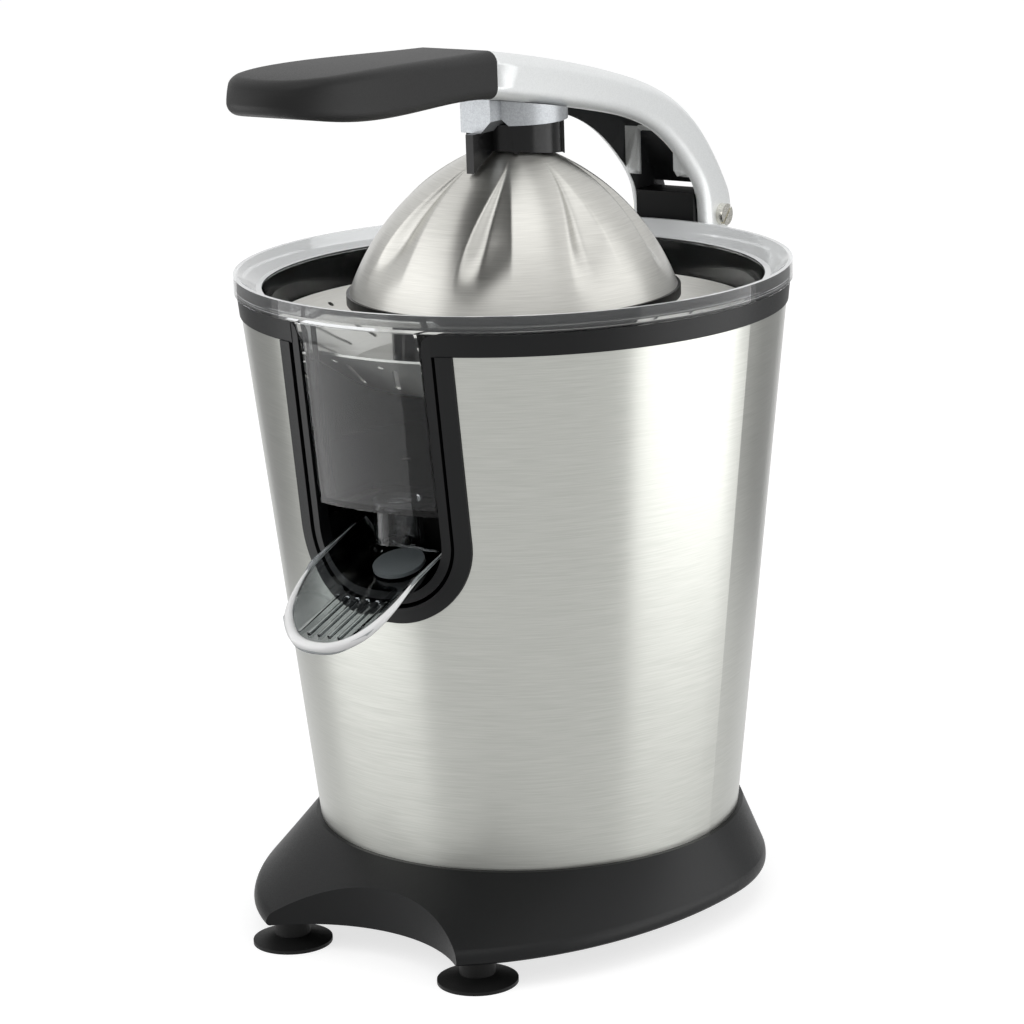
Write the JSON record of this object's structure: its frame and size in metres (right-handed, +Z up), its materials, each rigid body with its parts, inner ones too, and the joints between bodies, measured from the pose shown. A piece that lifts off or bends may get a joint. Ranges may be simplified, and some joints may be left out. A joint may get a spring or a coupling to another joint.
{
  "type": "citrus press",
  "caption": "Electric lever citrus press: a tapered steel body on a flared base, a fluted reaming cone in a clear bowl, a hinged press arm with a grip, and a tilting drip-stop spout.",
  "frame": {"origin": "on the drive axis of the cone, at the table under the feet", "axes": "+Z up along the drive axis, -Y towards the spout, +X to the right seen from the spout"},
  "size_m": [0.19, 0.262, 0.3058],
  "materials": {
    "stainless_steel": "brushed round the body",
    "dark_plastic": "fine moulded grain",
    "black_plastic": "moulded, smooth",
    "clear_plastic": "clear moulded plastic",
    "soft_grip": "soft touch",
    "silver_paint": "satin silver over a casting",
    "nickel_plate": "nickel plated",
    "silicone": "moulded silicone",
    "black_rubber": "moulded",
    "zinc_steel": "zinc plated",
    "machined_steel": "turned and laminated steel",
    "motor_paint": "drawn can, painted",
    "bronze_bush": "sintered",
    "natural_nylon": "moulded nylon"
  },
  "bodies": {
    "stand": {"base_housing": "dark_plastic", "base_plate": "dark_plastic", "suction_feet": "black_rubber", "base_screws": "zinc_steel", "cord_inlet": "black_rubber", "steel_shell": "stainless_steel", "notch_trim": "dark_plastic", "top_collar": "dark_plastic", "spout_recess": "black_plastic", "inner_tub": "black_plastic", "hinge_bracket": "dark_plastic", "bracket_screws": "zinc_steel", "hinge_bushes": "bronze_bush", "motor_can": "motor_paint", "motor_stator": "machined_steel", "motor_bushes": "bronze_bush", "motor_screws": "zinc_steel", "gearbox_lower": "natural_nylon", "gearbox_upper": "natural_nylon", "gearbox_screws": "zinc_steel", "idler_axle": "machined_steel", "shaft_bushes": "bronze_bush", "shaft_seal": "silicone", "switch_body": "black_plastic", "switch_screws": "zinc_steel", "return_spring": "machined_steel", "juice_bowl": "clear_plastic", "strainer": "stainless_steel", "strainer_hub": "black_plastic", "spout_pins": "zinc_steel"},
    "lever": {"lever_arm": "silver_paint", "grip_upper": "soft_grip", "grip_lower": "soft_grip", "grip_screws": "zinc_steel", "presser_mount": "silver_paint", "presser": "black_plastic", "presser_screw": "zinc_steel", "hinge_pin": "nickel_plate", "hinge_nut": "nickel_plate"},
    "carrier": {"press_carrier": "natural_nylon"},
    "cone": {"cone_shell": "stainless_steel", "cone_core": "black_plastic", "drive_shaft": "machined_steel", "output_gear": "natural_nylon"},
    "idler": {"idler_gear": "natural_nylon"},
    "rotor": {"motor_rotor": "machined_steel"},
    "plunger": {"switch_plunger": "natural_nylon"},
    "spout": {"spout_chute": "clear_plastic", "stopper_pad": "silicone"}
  },
  "joints": [
    {"name": "lever_hinge", "type": "hinge", "parent": "stand", "child": "lever", "pos_m": [0, 0.112, 0.222], "axis": [-1, 0, 0], "range_deg": [0, 95]},
    {"name": "cone_press", "type": "slide", "parent": "stand", "child": "carrier", "axis": [0, 0, -1], "range_m": [0, 0.0025], "stiffness_N_per_m": 1500, "springref_m": -0.006, "deforming": ["return_spring"]},
    {"name": "cone_spin", "type": "hinge", "parent": "carrier", "child": "cone", "pos_m": [0, 0, 0], "axis": [0, 0, 1], "continuous": true},
    {"name": "idler_spin", "type": "hinge", "parent": "stand", "child": "idler", "pos_m": [0, 0.03025, 0], "axis": [0, 0, 1], "continuous": true},
    {"name": "motor_spin", "type": "hinge", "parent": "stand", "child": "rotor", "pos_m": [0, 0.005, 0], "axis": [0, 0, 1], "continuous": true},
    {"name": "plunger_slide", "type": "slide", "parent": "stand", "child": "plunger", "axis": [0, 0, -1], "range_m": [0, 0.0025]},
    {"name": "spout_tilt", "type": "hinge", "parent": "stand", "child": "spout", "pos_m": [0, -0.05, 0.134], "axis": [-1, 0, 0], "range_deg": [0, 17]}
  ],
  "couplings": [
    {"joint": "idler_spin", "follows": "cone_spin", "ratio": -4},
    {"joint": "motor_spin", "follows": "cone_spin", "ratio": 16},
    {"joint": "plunger_slide", "follows": "cone_press", "ratio": 1}
  ]
}
